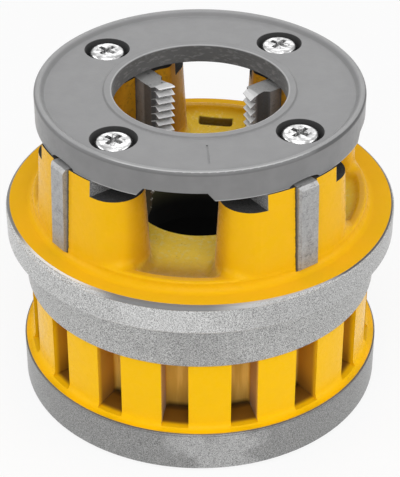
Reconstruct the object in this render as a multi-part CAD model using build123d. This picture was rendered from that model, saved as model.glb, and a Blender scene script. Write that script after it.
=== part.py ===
"""Pipe threading die head: slotted drive sleeve, four thread dies and a bolted cover.

The head stands on its base ring. +Z runs up the pipe axis to the cover, and the origin is the
middle of the base. The chip windows face +X, +Y, -X and -Y, and the dies lie on the diagonals.
All sizes are in millimetres and all angles in degrees.
"""
from build123d import *
from math import asin, ceil, cos, pi, radians, sin, sqrt, tan
import os

os.makedirs("parts", exist_ok=True)

# Thread that the dies cut: 1 inch taper pipe thread, right hand
pipe_r = 16.7
threads_per_inch = 11.5
pitch = 25.4 / threads_per_inch
thread_depth = 0.8 * pitch
flank_angle = 30.0
taper_per_side = 1 / 32
thread_minor_r = 14.53
crest_flat = 0.12

# Drive sleeve, from the base upwards
base_r = 48.2
base_h = 12.0
base_chamfer = 0.8
rib_set_in = 2.7
rib_h = 20.4
rib_foot_round = 2.0
slot_count = 16
slot_w = 7.0
slot_depth = 8.0
slot_corner_r = 1.0
slot_sill = 0.45
band_set_in = 1.8
band_h = 13.9
flange_out = 2.8
flange_h = 7.0
bevel_w = 0.7
bevel_h = 0.6
edge_break = 0.4

# Bore of the sleeve
throat_clear = 0.5
throat_len = 17.0
relief_r = 31.0
relief_round = 4.0
mouth_chamfer = 1.0

# Deck with its curb, the four posts and the chip windows between them
post_count = 4
post_set_in = 8.5
post_inner_r = 24.5
post_h = 25.1
post_draft = 3.0
post_corner_r = 7.2
post_inner_corner_r = 2.5
post_foot_round = 2.4
curb_h = 2.7
curb_w = 2.1
curb_proud = 0.1
curb_round = 0.65
curb_inner_round = 0.8
foot_round = 2.0
window_w = 21.4
window_slant = 12.6
trough_depth = 4.4
ramp_arc_r = 13.0
notch_l = 9.7
notch_w = 2.0
notch_r = 37.5
notch_shift = -0.95
notch_rise = 0.3
pad_w = 21.4
pad_step = 4.35

# Dies: shank, ground land with its teeth, chip flute and stop lug
die_t = 5.8
die_clear = 0.05
die_side_clear = 0.2
die_sill = 1.3
die_out = 1.4
die_lean = 1.8
die_edge = 0.9
die_sole_edge = 0.4
die_edge_side = 0.6
land_w = 4.5
land_set_in = 0.25
land_relief = 1.1
facet_drop = 0.35
flute_depth = 0.9
flute_run = 3.5
flute_lip = 1.1
top_crest = 0.85
lead_drop = 2.6
lead_h = 5.4
lug_r = 35.1
lug_l = 4.0
lug_w = 3.2
lug_h = 0.9
lug_set_in = 0.5
die_travel = 3.0
stop_gap = 0.05

# Cover
cover_set_in = 0.4
cover_bore_r = 22.4
cover_h = 6.7
rim_h = 1.2
rim_w = 1.4
rim_slope_w = 1.3
rim_round = 0.8
lip_w = 2.0
lip_h = 0.4
lip_round = 0.35
chip_well_w = 4.6
chip_channel_w = 19.0
chip_channel_h = 2.2
chip_channel_slope = 1.75
die_relief_w = 9.2
die_relief_h = 1.2
die_relief_l = 4.2
index_angle = -78.4
index_w = 0.5
index_l = 8.5
index_r = 31.8
index_depth = 0.2

# Cover screws, M5 with pan heads and a cross recess
screw_set_in = 10.3
screw_offset_angle = 12.5
screw_r = 2.5
screw_len = 12.0
screw_tip = 0.8
tap_clear = 0.05
tap_extra = 2.0
hole_clear = 0.3
head_r = 4.75
head_h = 3.4
head_crown = 1.3
head_sink = 0.3
counterbore_r = 6.0
recess_l = 5.2
recess_w = 1.2
recess_depth = 2.3
recess_taper = 5.0

# Heights and radii that follow from the sizes above
rib_r = base_r - rib_set_in
band_r = base_r - band_set_in
flange_r = base_r + flange_out
post_r = flange_r - post_set_in
throat_r = pipe_r + throat_clear
rib_top = base_h + rib_h
band_top = rib_top + band_h
flange_top = band_top + flange_h
deck_z = flange_top + bevel_h
deck_r = flange_r - bevel_w
curb_z = deck_z + curb_h
draft = tan(radians(post_draft))
ramp_top_r = post_r + (post_h - curb_h) * draft - curb_w
ramp_foot_r = ramp_top_r - sqrt(ramp_arc_r**2 - (ramp_arc_r - trough_depth) ** 2)
trough_z = curb_z - trough_depth
throat_bottom = trough_z - throat_len
post_top = deck_z + post_h
pocket_z = post_top - pad_step
die_slot_z = deck_z + die_sill
die_bottom = die_slot_z + die_clear
die_top = post_top - die_clear
die_outer_r = post_r + die_out
die_foot_r = die_outer_r + (die_top - die_bottom) * tan(radians(die_lean))
die_slot_w = die_t + 2 * die_side_clear
cover_r = post_r - cover_set_in
screw_circle_r = post_r - screw_set_in
face_z = post_top + cover_h
rim_top = face_z + rim_h
head_top = face_z - head_sink
seat_z = head_top - head_h
first_die = 45.0
beyond = 1.0


def ring_of(shape, count, start=0.0):
    """Copies of a shape, evenly turned about the pipe axis."""
    return [Rot(0, 0, start + 360.0 / count * i) * shape for i in range(count)]


def block(x0, x1, y0, y1, z0, z1):
    """Box between two corners."""
    middle = Pos((x0 + x1) / 2, (y0 + y1) / 2, (z0 + z1) / 2)
    return middle * Box(x1 - x0, y1 - y0, z1 - z0)


def rod(radius, z0, z1):
    """Upright cylinder between two heights."""
    return Pos(0, 0, (z0 + z1) / 2) * Cylinder(radius, z1 - z0)


def reach(spot):
    """Distance of a place from the pipe axis."""
    return sqrt(spot.X**2 + spot.Y**2)


def corners(shape, *points):
    """Corners of a flat shape that lie nearest to the given points."""
    found = []
    for x, y in points:
        found.append(min(shape.vertices(), key=lambda v: (v.X - x) ** 2 + (v.Y - y) ** 2))
    return found


def turned(section):
    """Solid of revolution from a section of radius against height."""
    return revolve(Plane.XZ * section, Axis.Z)


def drafted(z):
    """How far a drafted wall of the posts has grown outwards at a height."""
    return (post_top - z) * draft


def curb_r(z):
    """Radius of the curb's outer wall at a height, a little proud of the posts."""
    return post_r + drafted(z) + curb_proud


def sleeve_section():
    """Half section of the turned sleeve: base, ribs, band, flange, deck, curb, ramp, floor and bore."""
    ramp = RadiusArc((ramp_foot_r, trough_z), (ramp_top_r, curb_z), -ramp_arc_r)
    section = make_face(
        ramp
        + Polyline(
            (ramp_top_r, curb_z),
            (curb_r(curb_z), curb_z),
            (curb_r(deck_z), deck_z),
            (deck_r, deck_z),
            (flange_r, flange_top),
            (flange_r, band_top),
            (band_r, band_top),
            (band_r, rib_top),
            (rib_r, rib_top),
            (rib_r, base_h),
            (base_r, base_h),
            (base_r, 0),
            (relief_r, 0),
            (relief_r, throat_bottom),
            (throat_r, throat_bottom),
            (throat_r, trough_z),
            (ramp_foot_r, trough_z),
        )
    )
    sharp = corners(section, (flange_r, band_top), (base_r, base_h), (band_r, rib_top))
    section = chamfer(sharp, edge_break)
    section = chamfer(corners(section, (base_r, 0)), base_chamfer)
    section = chamfer(corners(section, (relief_r, 0)), mouth_chamfer)
    section = fillet(corners(section, (relief_r, throat_bottom)), relief_round)
    section = fillet(corners(section, (rib_r, base_h)), rib_foot_round)
    section = fillet(corners(section, (curb_r(deck_z), deck_z)), min(foot_round, 0.74 * curb_h))
    section = fillet(corners(section, (curb_r(curb_z), curb_z)), min(curb_round, 0.24 * curb_h))
    return fillet(corners(section, (ramp_top_r, curb_z)), curb_inner_round)


def window_side(x):
    """Half width of a chip window at the top of the posts, at a distance from the axis."""
    return window_w / 2 - (x - post_inner_r) * tan(radians(window_slant))


def window_plan():
    """Plan of the window on +X at the top of the posts, narrower outwards."""
    near = post_inner_r - window_w
    far = flange_r + window_w / 2
    return make_face(
        Polyline(
            (near, -window_side(near)),
            (far, -window_side(far)),
            (far, window_side(far)),
            (near, window_side(near)),
            close=True,
        )
    )


def posts():
    """The four posts: drafted outside and in the windows, bored straight inside."""
    plan = Circle(post_r)
    for window in ring_of(window_plan(), post_count):
        plan -= window
    plan = fillet([v for v in plan.vertices() if reach(v) > post_inner_r], post_corner_r)
    root_z = trough_z - 2 * beyond
    blocks = Pos(0, 0, post_top) * extrude(plan, root_z - post_top, taper=-post_draft)
    blocks -= rod(post_inner_r, root_z - beyond, post_top + beyond)
    upright = [e for e in blocks.edges() if e.length > post_h]
    return fillet([e for e in upright if reach(e.center()) < post_inner_r + beyond], post_inner_corner_r)


def at_post_foot(edge):
    """Whether an edge lies where a post's wall meets the window's floor, the ramp or the curb."""
    spot = edge.center()
    low = trough_z - edge_break < spot.Z < curb_z + edge_break
    beside = post_inner_r < reach(spot) < post_r + edge_break
    around = edge.geom_type == GeomType.CIRCLE and reach(edge.arc_center) < edge_break
    return low and beside and not around


def ramp_notch():
    """Shallow cast notch across the ramp of the window on +Y."""
    plan = Pos(notch_shift, notch_r) * SlotOverall(notch_l, notch_w)
    return Pos(0, 0, trough_z + notch_rise) * extrude(plan, trough_depth)


def drive_slot():
    """Drive slot of the sleeve on +X, closed above by the band."""
    reach = base_r - rib_r + slot_depth + beyond
    plan = Pos(rib_r - slot_depth + reach / 2, 0) * Rectangle(reach, slot_w)
    root = rib_r - slot_depth
    plan = fillet(corners(plan, (root, slot_w / 2), (root, -slot_w / 2)), slot_corner_r)
    return Pos(0, 0, base_h + slot_sill) * extrude(plan, rib_h - slot_sill)


def die_slot():
    """Slot that guides the die on +X through its post."""
    half = die_slot_w / 2
    return block(0, flange_r, -half, half, die_slot_z, post_top + beyond)


def post_pockets():
    """Milled steps on both sides of the cover pad on the post on +X."""
    half = pad_w / 2
    step = block(half, flange_r, half, post_r, pocket_z, post_top + beyond)
    return step + mirror(step, Plane.XZ)


def screw_spots():
    """Places of the cover screws in plan, one beside each die."""
    spot = Pos(screw_circle_r, 0)
    step = 360.0 / post_count
    return [Rot(0, 0, first_die + screw_offset_angle + step * i) * spot for i in range(post_count)]


def die_head_body():
    """The casting: drive sleeve, flange, deck and posts in one piece."""
    body = turned(sleeve_section()) + posts()
    body = fillet([e for e in body.edges() if at_post_foot(e)], post_foot_round)
    body -= ramp_notch()
    body -= ring_of(drive_slot(), slot_count)
    body -= ring_of(die_slot(), post_count, first_die)
    body -= ring_of(post_pockets(), post_count, first_die)
    tap = rod(screw_r + tap_clear, post_top - screw_len - tap_extra, post_top + beyond)
    return body - [spot * tap for spot in screw_spots()]


def cover_section():
    """Half section of the cover: bore lip, flat face and raised rim."""
    rim_in = cover_r - rim_w
    lip_r = cover_bore_r + lip_w
    well_r = cover_bore_r + chip_well_w
    well_z = post_top + chip_channel_h
    section = make_face(
        Polyline(
            (well_r, post_top),
            (well_r, well_z),
            (cover_bore_r, well_z),
            (cover_bore_r, face_z + lip_h),
            (lip_r, face_z + lip_h),
            (lip_r + lip_h, face_z),
            (rim_in - rim_slope_w, face_z),
            (rim_in, rim_top),
            (cover_r, rim_top),
            (cover_r, post_top),
            close=True,
        )
    )
    section = fillet(corners(section, (cover_r, rim_top)), min(rim_round, 0.8 * rim_w))
    section = fillet(corners(section, (rim_in, rim_top)), min(rim_round, rim_w) / 3)
    section = fillet(corners(section, (rim_in - rim_slope_w, face_z)), rim_slope_w / 2)
    return fillet(corners(section, (cover_bore_r, face_z + lip_h)), min(lip_round, lip_w / 3))


def chip_channel():
    """Channel with sloped walls across the cover's underside, over the window on +X."""
    foot = chip_channel_w / 2
    head = foot - chip_channel_slope
    roof = post_top + chip_channel_h
    section = Polyline(
        (-foot, post_top - beyond),
        (-foot, post_top),
        (-head, roof),
        (head, roof),
        (foot, post_top),
        (foot, post_top - beyond),
        close=True,
    )
    return extrude(Plane.YZ * make_face(section), cover_r + beyond)


def die_relief():
    """Arched relief in the cover's rim, over the outer end of the die on +X."""
    arch = Plane.YZ.offset(cover_r - die_relief_l) * Ellipse(die_relief_w / 2, die_relief_h)
    return Pos(0, 0, post_top) * extrude(arch, die_relief_l + beyond)


def lug_sides():
    """Sides of the stop lug across the die on +X, nearer to the cutting edge."""
    low = -die_t / 2 + lug_set_in
    return low, low + lug_w


def stop_pocket():
    """Blind pocket under the cover that stops the lug of the die on +X both ways."""
    low, high = lug_sides()
    outer = lug_r + stop_gap
    inner = lug_r - lug_l - die_travel - stop_gap
    roof = die_top + lug_h + stop_gap
    side = 2 * stop_gap
    return block(inner, outer, low - side, high + side, post_top - beyond, roof)


def index_mark():
    """Shallow index line on the cover's face."""
    line = block(-index_l / 2, index_l / 2, -index_w / 2, index_w / 2, face_z - index_depth, rim_top)
    return Rot(0, 0, index_angle) * Pos(index_r, 0, 0) * line


def cover_plate():
    """Cover with chip channels below and counterbored screw holes."""
    cover = turned(cover_section())
    cover -= ring_of(chip_channel(), post_count)
    cover -= ring_of(die_relief(), post_count, first_die)
    cover -= ring_of(stop_pocket(), post_count, first_die)
    hole = rod(screw_r + hole_clear, post_top - beyond, seat_z) + rod(counterbore_r, seat_z, rim_top)
    cover -= [spot * hole for spot in screw_spots()]
    return cover - index_mark()


def die_faces():
    """Offsets across the die: its half thickness and the plane of its cutting edge."""
    half = die_t / 2
    return half, land_set_in - half


def crest_x(z):
    """Distance of a tooth's crest from the axis, along the die, at the cutting edge."""
    cut_y = die_faces()[1]
    radius = thread_minor_r + (die_top - z) * taper_per_side
    return sqrt(radius**2 - cut_y**2)


def die_plan():
    """Plan of the die: shank, land with its end facet, cutting face and chip flute."""
    half, cut_y = die_faces()
    land_end = cut_y + land_w
    crest = crest_x(die_top) - edge_break
    root = crest_x(die_top) + thread_depth
    facet = root + land_relief
    flute_x = root + flute_run
    flute_y = cut_y + flute_depth
    step = flute_x + flute_lip
    edge = Polyline(
        (root, cut_y),
        (crest, cut_y),
        (crest + land_relief, land_end),
        (facet, land_end),
        (facet + facet_drop, half),
        (die_foot_r, half),
        (die_foot_r, -half),
        (step, -half),
        (step, cut_y),
        (flute_x, flute_y),
    )
    hollow = ((root + flute_x) / 2, cut_y + 0.7 * flute_depth)
    flute = ThreePointArc((flute_x, flute_y), hollow, (root, cut_y))
    return make_face(edge + flute)


def along_land(outline):
    """Cutter of a side outline, drawn across the die along the land's relief and the thread's lead."""
    cut_y = die_faces()[1]
    lead = pitch / (2 * pi * thread_minor_r)
    run = Vector(land_relief / land_w, 1, lead)
    start = Vector(0, cut_y, 0) - run * (land_set_in + beyond)
    face = Plane(start, x_dir=(1, 0, 0), z_dir=(0, -1, 0)) * make_face(outline)
    return extrude(face, (die_t + 2 * beyond) * run.length, dir=run.normalized())


def tooth_gaps(stagger):
    """Cutter of all that lies in front of the teeth, their crests following the thread's taper."""
    rise = thread_depth * tan(radians(flank_angle))
    first = die_top - top_crest + stagger
    count = ceil((first - die_bottom) / pitch) + 1
    points = []
    for i in range(count):
        z = first - pitch * i
        tip = crest_x(z)
        root = tip + thread_depth
        points.append((root, z + crest_flat / 2 + rise))
        points.append((tip, z + crest_flat / 2))
        points.append((tip, z - crest_flat / 2))
        points.append((root, z - crest_flat / 2 - rise))
    near = crest_x(die_top) - thread_depth
    ends = [(near, points[-1][1]), (near, points[0][1])]
    return along_land(Polyline(*points, *ends, close=True))


def lead_in():
    """Cutter of the sloped entry that the pipe meets first, at the foot of the teeth."""
    top = die_bottom + lead_h
    near = crest_x(die_top) - thread_depth
    low = die_bottom - beyond
    tip = crest_x(die_bottom) + lead_drop
    slope = [(near, low), (tip, low), (tip, die_bottom), (crest_x(top), top), (near, top)]
    return along_land(Polyline(*slope, close=True))


def outer_end():
    """Cutter of the die's outer end, which leans outwards to the foot, with chamfers above and below."""
    top = (die_outer_r - die_edge, die_top)
    shoulder = (die_outer_r, die_top - die_edge)
    heel = (die_foot_r, die_bottom + die_sole_edge)
    sole = (die_foot_r - die_sole_edge, die_bottom)
    far = die_foot_r + beyond
    outline = Polyline(top, shoulder, heel, sole, (far, die_bottom), (far, die_top), close=True)
    return extrude(Plane.XZ * make_face(outline), die_t, both=True)


def side_bevel():
    """Cutter of the upright bevel between the die's outer end and the side of its cutting edge."""
    half = die_faces()[0]
    side = die_edge_side
    plan = Polyline(
        (die_foot_r - side, -half),
        (die_foot_r, side - half),
        (die_foot_r + side, side - half),
        (die_foot_r + side, -half),
        close=True,
    )
    lean = Vector(die_outer_r - die_foot_r, 0, die_top - die_bottom)
    return Pos(0, 0, die_bottom) * extrude(make_face(plan), lean.length, dir=lean.normalized())


def die(number):
    """One die on +X, its teeth a part of the pitch above those of the die before it."""
    shank = Pos(0, 0, die_bottom) * extrude(die_plan(), die_top - die_bottom)
    shank -= tooth_gaps(pitch * number / post_count)
    shank -= lead_in()
    shank -= outer_end()
    shank -= side_bevel()
    low, high = lug_sides()
    return shank + block(lug_r - lug_l, lug_r, low, high, die_top - beyond, die_top + lug_h)


def screw_section():
    """Half section of the screw: pan head, shank and chamfered tip."""
    section = make_face(
        Polyline(
            (0, seat_z - screw_len),
            (screw_r - screw_tip / 2, seat_z - screw_len),
            (screw_r, seat_z - screw_len + screw_tip),
            (screw_r, seat_z),
            (head_r, seat_z),
            (head_r, head_top),
            (0, head_top),
            close=True,
        )
    )
    return fillet(corners(section, (head_r, head_top)), min(head_crown, 0.6 * head_h))


def cover_screw():
    """Cover screw on the axis, with a tapered cross recess in its head."""
    arm = Rectangle(recess_l, recess_w)
    cross = arm + Rot(0, 0, 90) * arm
    recess = Pos(0, 0, head_top) * extrude(cross, -recess_depth, taper=recess_taper)
    return turned(screw_section()) - recess


def save(shape, name):
    """Write one piece to its own file."""
    export_step(shape, f"parts/{name}.step")


save(die_head_body(), "die_head_body")
save(cover_plate(), "cover_plate")
for i, spot in enumerate(screw_spots()):
    turn = Rot(0, 0, first_die + 360.0 / post_count * i)
    save(turn * die(i), f"die_{i + 1}")
    save(spot * cover_screw(), f"cover_screw_{i + 1}")
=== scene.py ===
"""Finishes, studio light and camera for the pipe threading die head."""
import math
from types import SimpleNamespace

import bpy
import numpy as np
from bpy.props import FloatProperty, FloatVectorProperty, PointerProperty
from bpy.types import Operator, Panel, PropertyGroup
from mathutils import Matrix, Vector

bl_info = {
    "name": "Pipe threading die head",
    "version": (1, 0, 0),
    "blender": (4, 5, 0),
    "location": "View3D > Sidebar > Die head",
    "description": "Dresses the die head with enamel, turned iron, ground steel and bright zinc",
    "category": "Object",
}

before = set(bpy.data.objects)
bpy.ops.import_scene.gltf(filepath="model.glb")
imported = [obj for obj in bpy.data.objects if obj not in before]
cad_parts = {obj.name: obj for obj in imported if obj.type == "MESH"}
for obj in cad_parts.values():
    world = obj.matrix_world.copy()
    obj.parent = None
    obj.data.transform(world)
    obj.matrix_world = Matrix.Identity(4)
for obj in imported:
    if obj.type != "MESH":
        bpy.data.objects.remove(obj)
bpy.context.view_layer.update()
DIES = [f"die_{i}" for i in range(1, 5)]
SCREW_SPOTS = {
    "cover_screw_1": (17.3, 27.16),
    "cover_screw_2": (-27.16, 17.3),
    "cover_screw_3": (-17.3, -27.16),
    "cover_screw_4": (27.16, -17.3),
}

# Edges that the masks follow, in millimetres. Heights are above the underside.
RING_TOP = 11.97
RIB_TOP = 32.38
FLANGE_FOOT = 46.3
THROAT_TOP = 52.0
FLANGE_TOP = 53.3
DECK_TOP = 54.0
PAD_TOP = 74.62
RIM_SHOULDER = 86.75
RING_RADIUS = 47.0
BAND_RADIUS = 45.7
THROAT_RADIUS = 31.3
DIE_SLOT_HALF = 3.16
PAD_HALF = 10.7

# Lamp name, place and side in metres, power in watts.
LAMPS = (
    ("top lamp", (0.0, -0.2, 0.9), 0.8, 2.2),
    ("back lamp", (0.0, 0.75, 0.65), 0.7, 1.2),
    ("left lamp", (-0.9, -0.2, 0.4), 0.7, 2.6),
    ("right lamp", (0.9, -0.15, 0.4), 0.7, 2.8),
    ("front lamp", (0.1, -0.75, 0.65), 0.7, 3.8),
)
LAMP_AIM = Vector((0, 0, 0.04))


def tint(red, green, blue):
    """Opaque colour of three levels."""
    return (red, green, blue, 1.0)


def grey(level):
    """Neutral colour of one level."""
    return tint(level, level, level)


def scaled(colour, factor):
    """Opaque colour with each level multiplied, and one at most."""
    return tint(*(min(1.0, factor * level) for level in colour[:3]))


class Nodes:
    """A node tree, with short ways to add nodes and join them."""

    def __init__(self, tree):
        self.tree = tree
        self.tree.nodes.clear()

    def add(self, kind, inputs=None, **settings):
        """New node with its settings and inputs, each input a value or another node's output."""
        node = self.tree.nodes.new(kind)
        for key, value in settings.items():
            setattr(node, key, value)
        for key, value in (inputs or {}).items():
            self.join(value, node.inputs[key])
        return node

    def join(self, source, socket):
        """Links an output to a socket, or writes a plain value into it."""
        if isinstance(source, bpy.types.NodeSocket):
            self.tree.links.new(source, socket)
        else:
            socket.default_value = source

    def calc(self, operation, *values):
        """Result of one sum on up to three numbers."""
        return self.add("ShaderNodeMath", dict(enumerate(values)), operation=operation).outputs[0]

    def folded(self, operation, first, *others):
        """Result of one sum carried through several numbers."""
        for other in others:
            first = self.calc(operation, first, other)
        return first

    def product(self, *values):
        """Product of several numbers."""
        return self.folded("MULTIPLY", *values)

    def largest(self, *values):
        """Largest of several numbers."""
        return self.folded("MAXIMUM", *values)

    def rise(self, value, low, high, start=0.0, end=1.0):
        """Smooth change from start to end while a number goes from low to high."""
        inputs = {"Value": value, "From Min": low, "From Max": high, "To Min": start, "To Max": end}
        return self.add("ShaderNodeMapRange", inputs, interpolation_type="SMOOTHSTEP").outputs["Result"]

    def fall(self, value, low, high):
        """Smooth change from one to zero while a number goes from low to high."""
        return self.rise(value, low, high, 1.0, 0.0)

    def above(self, value, edge, soft):
        """One above an edge and zero below it."""
        return self.rise(value, edge - soft, edge + soft)

    def below(self, value, edge, soft):
        """One below an edge and zero above it."""
        return self.fall(value, edge - soft, edge + soft)

    def between(self, value, low, high, soft):
        """One inside a range of numbers and zero outside it."""
        return self.product(self.above(value, low, soft), self.below(value, high, soft))

    def blend(self, factor, first, second):
        """Colour between two colours."""
        return self.add("ShaderNodeMix", {0: factor, 6: first, 7: second}, data_type="RGBA").outputs[2]

    def either(self, factor, first, second):
        """Number between two numbers."""
        return self.add("ShaderNodeMix", {0: factor, 2: first, 3: second}, data_type="FLOAT").outputs[0]

    def grain(self, vector, scale, detail=2.0, roughness=0.5):
        """Cloudy noise from zero to one at a scale in waves per millimetre."""
        inputs = {"Vector": vector, "Scale": scale, "Detail": detail, "Roughness": roughness}
        return self.add("ShaderNodeTexNoise", inputs, noise_dimensions="3D").outputs["Fac"]

    def stretch(self, vector, factors):
        """Coordinates multiplied by a factor along each axis."""
        return self.add("ShaderNodeVectorMath", {0: vector, 1: factors}, operation="MULTIPLY").outputs[0]

    def bump(self, height, distance):
        """Normal bent by a height map, with the depth of the relief in metres."""
        inputs = {"Height": height, "Distance": distance, "Strength": 1.0}
        return self.add("ShaderNodeBump", inputs).outputs["Normal"]

    def seen(self):
        """One where the camera looks, directly, in a reflection or through something clear."""
        rays = self.add("ShaderNodeLightPath").outputs
        return self.largest(*(rays[f"Is {kind} Ray"] for kind in ("Camera", "Glossy", "Transmission")))


class Finish(Nodes):
    """A material with one shader, and the places on the die head that its masks use."""

    def __init__(self, name):
        self.material = bpy.data.materials.new(name)
        self.material.use_nodes = True
        super().__init__(self.material.node_tree)
        self.shader = self.add("ShaderNodeBsdfPrincipled")
        self.output = self.add("ShaderNodeOutputMaterial", {0: self.shader.outputs[0]})

    def put(self, name, source):
        """Sets one of the shader's own inputs."""
        self.join(source, self.shader.inputs[name])

    def place(self):
        """Object coordinates in millimetres, with the radius from the axis and the upward slope."""
        source = self.add("ShaderNodeTexCoord").outputs
        self.vector = self.stretch(source["Object"], (1000.0, 1000.0, 1000.0))
        self.x, self.y, self.z = self.add("ShaderNodeSeparateXYZ", {0: self.vector}).outputs
        self.radius = self.apart((0.0, 0.0))
        self.slope = self.add("ShaderNodeSeparateXYZ", {0: source["Normal"]}).outputs[2]

    def azimuth(self):
        """Degrees around the axis, zero at the front and positive to the right."""
        return self.product(self.calc("ARCTAN2", self.x, self.product(self.y, -1.0)), math.degrees(1.0))

    def offsets(self, spot):
        """Level distances from one spot along x and along y."""
        return [self.calc("SUBTRACT", value, centre) for value, centre in zip((self.x, self.y), spot)]

    def apart(self, spot):
        """Level distance from one spot: the root of the sum of the squared offsets."""
        squares = [self.product(offset, offset) for offset in self.offsets(spot)]
        return self.calc("SQRT", self.calc("ADD", *squares))


def dress(names, material):
    """Puts one material on the named pieces."""
    for name in names:
        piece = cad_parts[name]
        piece.data.materials.clear()
        piece.data.materials.append(material)


class CastingLook(PropertyGroup):
    """Finish of the casting."""

    enamel: FloatVectorProperty(
        name="Enamel", description="Colour of the paint", subtype="COLOR", size=4, min=0, max=1,
        default=(0.79, 0.435, 0.002, 1.0),
    )
    # Painted shade: the colour of the paint where shade falls in corners, slots and on the posts
    shade: FloatVectorProperty(
        name="Painted corner shade", description="Colour of the paint deep in corners and slots", subtype="COLOR",
        size=4, min=0, max=1, default=(0.42, 0.17, 0.012, 1.0),
    )
    gloss: FloatProperty(
        name="Enamel roughness", description="How dull the paint is", default=0.27, min=0, max=1,
    )
    lump: FloatProperty(
        name="Sand lumps", description="Height of the casting's lumps under the paint", default=0.00009,
        min=0, max=0.001, subtype="DISTANCE", unit="LENGTH",
    )
    iron: FloatVectorProperty(
        name="Turned iron", description="Colour of the bare bands", subtype="COLOR", size=4, min=0, max=1,
        default=(0.43, 0.43, 0.425, 1.0),
    )


class CoverLook(PropertyGroup):
    """Finish of the cover."""

    coating: FloatVectorProperty(
        name="Coating", description="Colour of the cover's top", subtype="COLOR", size=4, min=0, max=1,
        default=(0.24, 0.24, 0.243, 1.0),
    )
    side: FloatVectorProperty(
        name="Side", description="Colour of the cover's side and bore", subtype="COLOR", size=4, min=0, max=1,
        default=(0.178, 0.178, 0.18, 1.0),
    )


class DieLook(PropertyGroup):
    """Finish of the dies."""

    steel: FloatVectorProperty(
        name="Ground steel", description="Colour of the dies", subtype="COLOR", size=4, min=0, max=1,
        default=(0.35, 0.35, 0.35, 1.0),
    )


class ScrewLook(PropertyGroup):
    """Finish of the cover screws."""

    zinc: FloatVectorProperty(
        name="Bright zinc", description="Colour of the screws", subtype="COLOR", size=4, min=0, max=1,
        default=(0.82, 0.82, 0.82, 1.0),
    )


class StageLook(PropertyGroup):
    """Camera and floor."""

    lens: FloatProperty(
        name="Lens", description="Focal length in millimetres", default=134.4, min=10, max=500,
    )
    distance: FloatProperty(
        name="Distance", description="From the camera to the aim", default=0.4775, unit="LENGTH",
        subtype="DISTANCE",
    )
    aim: FloatProperty(
        name="Aim height", description="Height of the aim on the axis", default=0.0396, unit="LENGTH",
        subtype="DISTANCE",
    )
    turn: FloatProperty(
        name="Turn", description="Camera's turn from the front", default=math.radians(8.1), subtype="ANGLE",
        unit="ROTATION",
    )
    tilt: FloatProperty(
        name="Tilt", description="Camera's height angle", default=math.radians(34.42), subtype="ANGLE",
        unit="ROTATION",
    )
    floor: FloatProperty(
        name="Floor", description="Side of the floor", default=6.0, unit="LENGTH", subtype="DISTANCE",
    )


class DIEHEAD_OT_casting(Operator):
    """Gives the casting its enamel, turned bands and milled steps"""

    bl_idname = "diehead.casting"
    bl_label = "Finish the casting"

    def execute(self, context):
        dress(["die_head_body"], casting_finish(context.scene.diehead_casting))
        return {"FINISHED"}


def casting_finish(look):
    """Enamel over lumpy sand cast iron, bare where the lathe and the mill have been."""
    f = Finish("enamelled casting")
    f.place()
    zones = casting_zones(f)
    iron = bevel_tone(f, zones, turned_iron(f, zones, look))
    iron = f.blend(zones.dark, iron, milled_iron(f, zones))
    enamel = post_paint(f, zones, window_paint(f, zones, look), look)
    f.put("Base Color", f.blend(zones.bare, sleeve_paint(f, zones, enamel, look), iron))
    f.put("Metallic", f.product(zones.light, 0.8))
    f.put("Specular IOR Level", 0.08)
    f.put("Sheen Weight", 0.2)
    f.put("Sheen Roughness", 0.35)
    wear = f.rise(f.grain(f.vector, 0.5, 4.0), 0.3, 0.7, -0.06, 0.1)
    matt = f.largest(zones.throat, zones.inside, zones.deep, zones.deck)
    painted = f.either(matt, f.calc("ADD", wear, look.gloss), 0.75)
    machined = f.product(zones.bare, f.calc("SUBTRACT", 1.0, zones.throat))
    f.put("Roughness", f.either(machined, painted, 0.46))
    pits = f.product(f.grain(f.vector, 0.9, 4.0, 0.6), f.either(zones.floor, 0.2, 2.2))
    lumps = f.calc("ADD", f.product(f.grain(f.vector, 0.16, 2.0), 2.5), pits)
    f.put("Normal", f.bump(f.either(zones.bare, lumps, f.product(zones.speck, 0.25)), look.lump))
    return f.material


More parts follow.
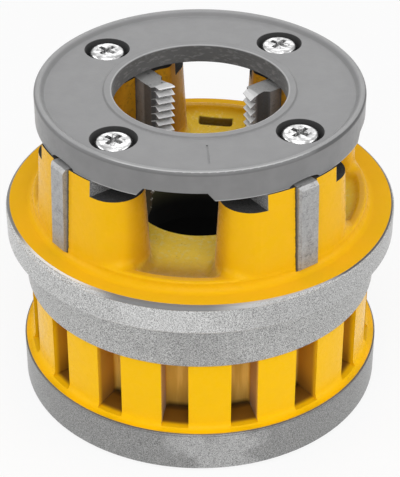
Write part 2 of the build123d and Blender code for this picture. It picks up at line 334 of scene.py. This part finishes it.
def casting_zones(f):
    """Masks of the casting's places, each one inside and zero outside, and what they are made from."""
    zones = SimpleNamespace(angle=f.azimuth())
    zones.speck = f.grain(f.stretch(f.vector, (1.0, 1.0, 1.4)), 3.2, 3.0, 0.75)
    diagonals = [f.calc("ABSOLUTE", f.calc(kind, f.x, f.y)) for kind in ("ADD", "SUBTRACT")]
    zones.across = f.product(f.calc("MINIMUM", *diagonals), math.sqrt(0.5))

    # Turned bands. The paint ends further in at the front left, as the lathe left it.
    front = f.calc("SUBTRACT", f.product(f.y, -0.966), f.product(f.x, 0.259))
    zones.past = f.calc("SUBTRACT", f.radius, f.rise(front, 15.0, 50.0, 50.25, 49.15))
    zones.ring = f.product(f.above(f.radius, RING_RADIUS, 0.1), f.below(f.z, RING_TOP, 0.02))
    zones.flange = f.product(f.above(f.z, FLANGE_FOOT, 0.05), f.rise(f.radius, 46.5, 46.6))
    zones.bevel = f.product(f.above(zones.past, 0.0, 0.06), f.between(f.z, FLANGE_TOP, DECK_TOP, 0.02))
    band = f.product(f.above(f.radius, BAND_RADIUS, 0.05), f.between(f.z, RIB_TOP, FLANGE_TOP, 0.02))
    zones.light = f.largest(zones.ring, band, f.fall(f.z, 0.05, 0.1))

    # Milled and bored places.
    high = f.above(f.z, PAD_TOP, 0.02)
    milled = f.product(high, f.rise(f.slope, 0.6, 0.8))
    zones.wall = f.product(high, f.between(zones.across, PAD_HALF - 0.04, PAD_HALF + 0.04, 0.02))
    in_slot = f.below(zones.across, DIE_SLOT_HALF, 0.02)
    zones.slot = f.product(in_slot, f.rise(f.z, 55.1, 55.15), f.rise(f.radius, 20.0, 21.0))
    zones.throat = f.product(f.below(f.radius, THROAT_RADIUS, 0.1), f.below(f.z, THROAT_TOP, 0.1))
    zones.dark = f.largest(milled, zones.wall, zones.slot, zones.throat)
    zones.bare = f.largest(zones.light, zones.dark, zones.bevel)

    # Painted places: window floor, inner ends of the posts, deck, ribs and the slots between them.
    zones.in_window = f.rise(f.z, 50.0, 50.5)
    zones.floor = f.product(f.fall(f.z, 54.4, 56.4), zones.in_window, f.fall(f.radius, 40.4, 41.8))
    zones.deep = f.product(f.fall(f.radius, 25.0, 31.0), f.rise(f.z, 57.0, 58.0))
    zones.deck = f.product(f.rise(f.z, 53.4, 53.8), f.fall(f.z, 54.6, 56.0), f.rise(f.slope, 0.7, 0.9))
    zones.low = f.fall(f.z, 32.3, 32.45)
    zones.inside = f.product(zones.low, f.fall(f.radius, 43.5, 45.2), f.rise(f.z, 12.0, 12.4))
    return zones


def turned_iron(f, zones, look):
    """Speckled bare iron: darker on the base ring, with painted highlights at the front of the flange and the
    ring, a painted reflection darkening the flange to the right, the band darker at the front, painted shade on
    the ring's chamfer and a dark paint line.
    """
    iron = f.blend(f.rise(zones.speck, 0.38, 0.62), scaled(look.iron, 0.45), scaled(look.iron, 1.5))
    iron = f.blend(f.product(zones.ring, 0.45), iron, grey(0.1))
    iron = f.blend(f.product(zones.flange, f.rise(zones.speck, 0.35, 0.6), 0.35), iron, grey(0.85))
    # Painted highlights: bright grains on the front of the flange and the ring, the edge of each patch
    # wandering
    cloud = f.calc("ADD", zones.angle, f.rise(f.grain(f.vector, 0.1, 3.0), 0.3, 0.7, -8.0, 8.0))
    grit = f.rise(zones.speck, 0.3, 0.6)
    front_glint = f.product(zones.flange, f.between(cloud, -16.0, 12.0, 5.0), grit)
    painted_light = f.product(zones.ring, f.between(cloud, 4.0, 22.0, 5.0), grit)
    iron = f.blend(f.product(f.largest(front_glint, painted_light), 0.32), iron, grey(0.85))
    # Painted reflection: the flange darker towards the right
    iron = f.blend(f.product(zones.flange, f.rise(zones.angle, 12.0, 30.0), 0.2), iron, grey(0.2))
    # The band darker at the front
    band = f.calc("SUBTRACT", 1.0, f.largest(zones.ring, zones.flange))
    band_darker_front = f.product(band, f.between(cloud, -6.0, 24.0, 6.0))
    iron = f.blend(f.product(band_darker_front, 0.2), iron, grey(0.14))
    # Painted shade on the ring's chamfer
    chamfer = f.product(zones.ring, f.rise(f.z, 11.15, 11.3))
    iron = f.blend(f.product(chamfer, 0.45), iron, grey(0.1))
    paint_line = f.product(zones.ring, f.rise(f.z, 11.65, 11.75))
    return f.blend(f.product(paint_line, 0.7), iron, tint(0.07, 0.05, 0.03))


def bevel_tone(f, zones, iron):
    """Turned bevel of the flange with a painted reflection: bright on the left, dark at the front and a thin
    line on the right.
    """
    # Painted reflection of the studio on the turned bevel, set by the angle round the axis
    left = f.product(f.between(zones.angle, -54.0, -24.0, 8.0), 0.6)
    right = f.product(f.between(zones.angle, 16.0, 47.0, 7.0), 0.28)
    dim_reflection = f.rise(zones.angle, 47.0, 55.0, 0.2, 0.09)
    level = f.folded("ADD", left, right, dim_reflection)
    narrow = f.calc("SUBTRACT", zones.past, f.rise(zones.angle, 30.0, 45.0, 0.75, 0.4))
    glint_zone = f.largest(f.between(zones.angle, -22.0, 26.0, 8.0), f.fall(narrow, -0.1, 0.1))
    return f.blend(f.product(zones.bevel, glint_zone), iron, f.blend(level, grey(0.0), grey(1.0)))


def milled_iron(f, zones):
    """Milled steps almost black with painted shade under the cover, greyer walls, a throat in painted shade
    that is black below and olive towards its top, and brown die slots.
    """
    # Painted shade: the milled steps under the cover almost black
    iron = f.blend(f.rise(zones.speck, 0.3, 0.7), grey(0.02), grey(0.06))
    iron = f.blend(zones.wall, iron, f.blend(f.rise(zones.speck, 0.4, 0.6), grey(0.1), grey(0.3)))
    # Painted shade in the throat: black below, olive towards its top where light comes in from above
    throat_shade = f.blend(f.rise(f.z, 40.0, 52.0), grey(0.004), tint(0.13, 0.125, 0.065))
    iron = f.blend(zones.throat, iron, throat_shade)
    return f.blend(zones.slot, iron, tint(0.11, 0.062, 0.016))


def window_paint(f, zones, look):
    """Enamel, paler and scuffed on the window floors, with painted shade at the outer rise of the front window
    and in the notch.
    """
    tone = f.rise(f.grain(f.vector, 0.25, 4.0, 0.55), 0.25, 0.75, 0.0, 0.2)
    enamel = f.blend(tone, tuple(look.enamel), tint(0.86, 0.44, 0.02))
    scuff = f.product(zones.floor, f.rise(f.grain(f.vector, 0.8, 5.0, 0.6), 0.52, 0.66))
    enamel = f.blend(f.product(zones.floor, 0.95), enamel, tint(1.0, 0.72, 0.07))
    enamel = f.blend(f.product(scuff, 0.6), enamel, tint(1.0, 0.82, 0.3))
    # Painted shade on the outer rise of the front window's floor
    front_rise_shade = f.product(zones.floor, f.rise(f.radius, 26.0, 35.0), f.fall(f.y, -24.0, -12.0))
    enamel = f.blend(f.product(front_rise_shade, 0.78), enamel, tint(0.42, 0.2, 0.016))
    chip = f.product(zones.floor, f.rise(f.grain(f.vector, 1.1, 5.0, 0.7), 0.36, 0.3))
    enamel = f.blend(f.product(chip, 0.5), enamel, tint(0.25, 0.14, 0.04))
    # Painted shade in the notch in the back window's floor
    notch = f.product(f.between(f.x, -5.75, 3.85, 0.3), f.between(f.y, 37.5, 38.9, 0.25), zones.in_window)
    return f.blend(f.product(notch, 0.9), enamel, tint(0.05, 0.026, 0.01))


def post_paint(f, zones, enamel, look):
    """Painted shade on the inner ends and the cheeks of the posts, brown flecks of dirt on the inner ends, and
    a ragged dark seam of painted shade in the gap beside each die.
    """
    # Painted shade on the inner ends of the posts
    enamel = f.blend(f.product(zones.deep, 0.7), enamel, tuple(look.shade))
    fleck = f.product(zones.deep, f.rise(f.grain(f.vector, 0.7, 5.0, 0.75), 0.5, 0.65))
    enamel = f.blend(f.product(fleck, 0.45), enamel, tint(0.1, 0.05, 0.012))
    # Painted shade on the posts' cheeks beside the windows
    aside = f.calc("MINIMUM", f.calc("ABSOLUTE", f.x), f.calc("ABSOLUTE", f.y))
    cheek = f.product(f.fall(aside, 10.5, 13.5), f.rise(f.z, 53.5, 58.0), f.fall(f.radius, 42.4, 43.4))
    enamel = f.blend(f.product(cheek, 0.4), enamel, tuple(look.shade))
    # Painted shade of the gap beside each die: a dark seam with a ragged edge
    ragged = f.calc("ADD", zones.across, f.rise(f.grain(f.vector, 1.2, 4.0, 0.6), 0.3, 0.7, -0.12, 0.12))
    seam = f.product(f.fall(ragged, 3.38, 3.46), f.rise(f.radius, 38.0, 39.0), f.rise(f.z, 55.0, 55.1))
    return f.blend(f.product(seam, 0.85), enamel, tint(0.03, 0.02, 0.012))


def sleeve_paint(f, zones, enamel, look):
    """Brighter ribs, and drive slots with painted shade inside, paler and streaked at the end, with painted
    shade on the sill and black at the foot.
    """
    enamel = f.blend(f.product(zones.low, 0.8), enamel, tint(0.93, 0.53, 0.001))
    # Painted shade inside the drive slots
    enamel = f.blend(f.product(zones.inside, 0.8), enamel, tuple(look.shade))
    end = f.product(zones.inside, f.fall(f.radius, 37.7, 38.6))
    run = f.grain(f.stretch(f.vector, (1.0, 1.0, 0.12)), 0.6, 3.0)
    enamel = f.blend(f.product(end, f.rise(run, 0.35, 0.65, 0.45, 0.85)), enamel, tint(0.98, 0.64, 0.15))
    # Painted shade on the sill of each slot, black at its foot and darker towards the bottom
    sill = f.product(zones.inside, f.fall(f.z, 12.5, 13.2))
    enamel = f.blend(f.product(sill, 0.6), enamel, tint(0.2, 0.08, 0.01))
    foot = f.product(zones.inside, f.fall(f.radius, 37.6, 41.5), f.fall(f.z, 12.3, 15.5), 0.9)
    low_slot_shade = f.product(zones.inside, f.rise(f.z, 12.0, 22.0, 0.45, 0.0))
    return f.blend(f.largest(foot, low_slot_shade), enamel, tint(0.03, 0.014, 0.004))


class DIEHEAD_OT_cover(Operator):
    """Gives the cover its plain grey coating"""

    bl_idname = "diehead.cover"
    bl_label = "Finish the cover"

    def execute(self, context):
        dress(["cover_plate"], cover_finish(context.scene.diehead_cover))
        return {"FINISHED"}


def cover_finish(look):
    """Satin grey coating, darker on the side, with painted shade making the screws' wells black."""
    f = Finish("grey coating")
    f.place()
    top = f.rise(f.slope, 0.2, 0.9)
    colour = f.blend(top, tuple(look.side), tuple(look.coating))
    colour = f.blend(f.rise(f.grain(f.vector, 0.2, 4.0), 0.3, 0.7, 0.0, 0.12), colour, grey(0.36))
    colour = f.blend(f.rise(f.grain(f.vector, 3.0, 2.0), 0.3, 0.7, 0.0, 0.1), colour, grey(0.2))
    colour = rim_wear_and_light(f, turned_lines(f, top, colour))
    bore = f.product(f.fall(f.radius, 22.6, 22.9), f.fall(f.slope, 0.2, 0.4))
    streak = f.rise(f.grain(f.stretch(f.vector, (1.0, 1.0, 3.0)), 0.5, 4.0, 0.6), 0.5, 0.65)
    streaked = f.blend(f.product(streak, 0.4), grey(0.07), grey(0.25))
    colour = f.blend(f.product(bore, 0.8), colour, streaked)
    # Painted shade: the screws' wells nearly black
    near = f.folded("MINIMUM", *(f.apart(spot) for spot in SCREW_SPOTS.values()))
    well = f.product(f.fall(near, 6.6, 6.8), f.fall(f.z, 85.5, 85.65))
    colour = f.blend(f.product(well, 0.92), colour, grey(0.03))
    f.put("Base Color", colour)
    f.put("Metallic", 0.0)
    satin = f.rise(f.grain(f.vector, 0.6, 3.0), 0.3, 0.7, 0.34, 0.44)
    f.put("Roughness", f.either(f.largest(well, bore), satin, 0.75))
    f.put("Specular IOR Level", 0.28)
    f.put("Sheen Weight", 0.2)
    f.put("Sheen Roughness", 0.35)
    f.put("Normal", f.bump(f.grain(f.vector, 1.6, 3.0), 0.00002))
    return f.material


def turned_lines(f, top, colour):
    """Rings on the top: painted shade at the foot of the rim and at the foot of the lip, a lighter flat of the
    rim and a bright edge of the lip.
    """
    for low, high, soft, level, share, tone in (
        (38.9, 40.2, 0.15, f.rise(f.z, 85.75, 85.9), 0.35, 0.13),
        (40.3, 41.6, 0.15, f.rise(f.z, 86.6, 86.7), 0.3, 0.42),
        (24.3, 24.7, 0.1, top, 0.45, 0.13),
        (22.5, 22.8, 0.1, f.rise(f.z, 85.6, 85.8), 0.4, 0.6),
    ):
        colour = f.blend(f.product(f.between(f.radius, low, high, soft), level, share), colour, grey(tone))
    return colour


def rim_wear_and_light(f, colour):
    """Wear and painted light on the rim: a dark round, a painted highlight on the worn edge at the front,
    painted shade on the round at the right and a bright bottom edge.
    """
    angle = f.azimuth()
    turn = f.product(f.rise(f.radius, 41.3, 41.5), f.between(f.z, 85.9, RIM_SHOULDER, 0.06))
    colour = f.blend(f.product(turn, 0.6), colour, grey(0.11))
    edge = f.product(f.rise(f.radius, 41.2, 41.3), f.between(f.z, RIM_SHOULDER - 0.01, 86.88, 0.03))
    # Painted highlight on the worn edge of the rim at the front
    shine = f.product(edge, f.between(angle, -24.0, 46.0, 5.0), 0.4)
    hem = f.product(f.rise(f.radius, 41.0, 41.2), f.fall(f.z, 79.1, 79.3), 0.3)
    colour = f.blend(f.largest(shine, hem), colour, grey(0.75))
    # Painted shade on the round at the right
    round_band = f.product(f.rise(f.radius, 41.4, 41.6), f.between(f.z, 86.0, RIM_SHOULDER, 0.06))
    right_shade = f.product(round_band, f.between(angle, 49.0, 95.0, 3.0), 0.75)
    return f.blend(right_shade, colour, grey(0.06))


class DIEHEAD_OT_dies(Operator):
    """Gives the dies their ground steel"""

    bl_idname = "diehead.dies"
    bl_label = "Finish the dies"

    def execute(self, context):
        dress(DIES, die_finish(context.scene.diehead_dies))
        return {"FINISHED"}


def die_finish(look):
    """Ground tool steel: fine upright grinding lines and small dark stains, with painted shade on the sides
    near the inner end, in the teeth's valleys and on their lower flanks, and a painted highlight on their upper
    flanks.
    """
    f = Finish("ground tool steel")
    f.place()
    lines = f.grain(f.stretch(f.vector, (5.0, 5.0, 0.35)), 1.2, 3.0, 0.6)
    stain = f.grain(f.vector, 0.5, 5.0, 0.65)
    speck = f.grain(f.vector, 2.4, 2.0, 0.6)
    steel = f.blend(f.rise(lines, 0.3, 0.7), scaled(look.steel, 0.8), tuple(look.steel))
    steel = f.blend(f.rise(stain, 0.45, 0.7, 0.0, 0.6), steel, grey(0.14))
    steel = f.blend(f.rise(speck, 0.35, 0.65, 0.0, 0.5), steel, grey(0.5))
    flat = f.rise(f.slope, 0.5, 0.7)
    # Painted shade on the dies' sides towards their inner ends, under the cover
    hidden = f.product(f.rise(f.radius, 25.0, 28.0, 0.7, 0.0), f.calc("SUBTRACT", 1.0, flat))
    steel = f.blend(hidden, steel, tint(0.2, 0.215, 0.25))
    steel = f.blend(f.product(flat, f.rise(f.radius, 30.0, 34.0, 0.5, 0.2)), steel, grey(0.6))
    # Painted shade on the teeth's faces that do not face up
    toothed = f.product(f.rise(f.radius, 16.4, 17.6), f.fall(f.radius, 20.4, 21.4))
    valley = f.product(toothed, f.rise(f.slope, 0.2, 0.5, 0.75, 0.0))
    steel = f.blend(valley, steel, grey(0.03))
    scratch = f.grain(f.stretch(f.vector, (0.5, 0.5, 3.0)), 1.1, 4.0, 0.7)
    steel = f.blend(f.rise(scratch, 0.4, 0.34, 0.0, 0.75), steel, grey(0.05))
    # Painted shade on the lower flanks at the tips of the teeth and a painted highlight on their upper flanks
    tooth = f.fall(f.radius, 17.2, 17.8)
    steel = f.blend(f.product(tooth, f.rise(f.slope, -0.5, 0.1, 0.85, 0.0)), steel, grey(0.04))
    steel = f.blend(f.product(tooth, f.rise(f.slope, 0.2, 0.6, 0.0, 0.8)), steel, grey(0.85))
    f.put("Base Color", steel)
    f.put("Metallic", 0.4)
    f.put("Roughness", f.rise(stain, 0.3, 0.7, 0.36, 0.5))
    f.put("Normal", f.bump(f.calc("ADD", lines, f.product(speck, 1.5)), 0.00003))
    return f.material


class DIEHEAD_OT_screws(Operator):
    """Gives the cover screws their bright zinc"""

    bl_idname = "diehead.screws"
    bl_label = "Finish the screws"

    def execute(self, context):
        for name, spot in SCREW_SPOTS.items():
            dress([name], screw_finish(context.scene.diehead_screws, spot))
        return {"FINISHED"}


def screw_finish(look, spot):
    """Bright zinc plate, with painted shade and highlights in the cross recess, and darker low down."""
    f = Finish("bright zinc")
    f.place()
    marks = f.grain(f.stretch(f.vector, (1.0, 1.6, 1.0)), 0.5, 2.0)
    zinc = f.blend(f.rise(marks, 0.4, 0.62), tuple(look.zinc), grey(0.45))
    # Painted shade and highlights in the cross recess
    arm = f.calc("MINIMUM", *(f.calc("ABSOLUTE", offset) for offset in f.offsets(spot)))
    cross = f.product(f.fall(arm, 0.65, 0.9), f.fall(f.apart(spot), 2.7, 3.1))
    painted_light = f.blend(f.rise(f.grain(f.vector, 1.1, 3.0, 0.6), 0.42, 0.58), grey(0.12), grey(0.8))
    zinc = f.blend(f.product(cross, 0.8), zinc, painted_light)
    shank = f.rise(f.z, 82.4, 82.6, 0.5, 0.0)
    f.put("Base Color", f.blend(shank, zinc, grey(0.3)))
    f.put("Metallic", f.either(cross, 1.0, 0.4))
    f.put("Roughness", f.rise(marks, 0.3, 0.7, 0.14, 0.3))
    f.put("Normal", f.bump(marks, 0.00006))
    return f.material


class DIEHEAD_OT_stage(Operator):
    """Sets the floor, the soft light and the camera"""

    bl_idname = "diehead.stage"
    bl_label = "Set the stage"

    def execute(self, context):
        look = context.scene.diehead_stage
        lay_floor(context.scene, look)
        light_studio(context.scene)
        stand_camera(context.scene, look)
        return {"FINISHED"}


def lay_floor(scene, look):
    """Level square under the object: x and y each run from minus to plus half the side, z is zero."""
    side = np.array((-0.5, 0.5)) * look.floor
    x, y = np.meshgrid(side, side)
    corners = np.stack((x, y, np.zeros_like(x)), axis=-1).reshape(-1, 3)
    mesh = bpy.data.meshes.new("studio_floor")
    mesh.from_pydata(corners.tolist(), [], [(0, 1, 3, 2)])
    mesh.materials.append(floor_finish())
    floor = bpy.data.objects.new("studio_floor", mesh)
    scene.collection.objects.link(floor)


def floor_finish():
    """Pale matt floor, almost white to the camera, that keeps the object's shadow."""
    f = Finish("studio floor")
    f.put("Base Color", grey(0.8))
    f.put("Roughness", 0.9)
    f.put("Specular IOR Level", 0.0)
    glow = f.add("ShaderNodeEmission", {"Color": grey(1.0), "Strength": 1.0}).outputs[0]
    inputs = {0: f.product(f.seen(), 0.85), 1: f.shader.outputs[0], 2: glow}
    f.join(f.add("ShaderNodeMixShader", inputs).outputs[0], f.output.inputs[0])
    return f.material


def light_studio(scene):
    """Even pale surroundings, white where they are seen, and five large soft lamps."""
    world = bpy.data.worlds.new("studio")
    scene.world = world
    world.use_nodes = True
    sky = Nodes(world.node_tree)
    strength = sky.either(sky.seen(), 0.5, 1.0)
    back = sky.add("ShaderNodeBackground", {"Strength": strength}).outputs[0]
    sky.add("ShaderNodeOutputWorld", {0: back})
    for name, spot, side, power in LAMPS:
        lamp = bpy.data.lights.new(name, "AREA")
        lamp.size = side
        lamp.energy = power
        holder = bpy.data.objects.new(name, lamp)
        holder.location = spot
        holder.rotation_euler = (LAMP_AIM - Vector(spot)).to_track_quat("-Z", "Y").to_euler()
        scene.collection.objects.link(holder)
    scene.view_settings.view_transform = "Standard"


def stand_camera(scene, look):
    """Camera at the photograph's angle: the aim point plus the distance along the turned, tilted line."""
    level = look.distance * math.cos(look.tilt)
    rise = look.distance * math.sin(look.tilt)
    away = Vector((level * math.sin(look.turn), -level * math.cos(look.turn), rise))
    lens = bpy.data.cameras.new("camera")
    lens.lens = look.lens
    lens.sensor_width = 36.0
    lens.clip_start = 0.01
    lens.clip_end = 50.0
    camera = bpy.data.objects.new("camera", lens)
    camera.location = Vector((0, 0, look.aim)) + away
    camera.rotation_euler = (-away).to_track_quat("-Z", "Y").to_euler()
    scene.collection.objects.link(camera)
    bpy.context.scene.camera = camera


class DIEHEAD_PT_panel(Panel):
    """Lists the die head's operators and their settings"""

    bl_idname = "DIEHEAD_PT_panel"
    bl_label = "Die head"
    bl_space_type = "VIEW_3D"
    bl_region_type = "UI"
    bl_category = "Die head"

    def draw(self, context):
        for name, look in LOOKS.items():
            box = self.layout.box()
            box.operator(f"diehead.{name}")
            for key in look.__annotations__:
                box.prop(getattr(context.scene, f"diehead_{name}"), key)


# Settings of each operator, in the order in which the operators run.
LOOKS = {"casting": CastingLook, "cover": CoverLook, "dies": DieLook, "screws": ScrewLook, "stage": StageLook}
CLASSES = (
    *LOOKS.values(),
    DIEHEAD_OT_casting,
    DIEHEAD_OT_cover,
    DIEHEAD_OT_dies,
    DIEHEAD_OT_screws,
    DIEHEAD_OT_stage,
    DIEHEAD_PT_panel,
)


def register():
    """Registers the classes and hangs the settings on the scene."""
    for item in CLASSES:
        bpy.utils.register_class(item)
    for name, look in LOOKS.items():
        setattr(bpy.types.Scene, f"diehead_{name}", PointerProperty(type=look))


def unregister():
    """Takes the settings and the classes away again."""
    for name in LOOKS:
        delattr(bpy.types.Scene, f"diehead_{name}")
    for item in reversed(CLASSES):
        bpy.utils.unregister_class(item)


def main():
    """Runs every operator in order."""
    register()
    for name in LOOKS:
        getattr(bpy.ops.diehead, name)()


if __name__ == "__main__":
    main()
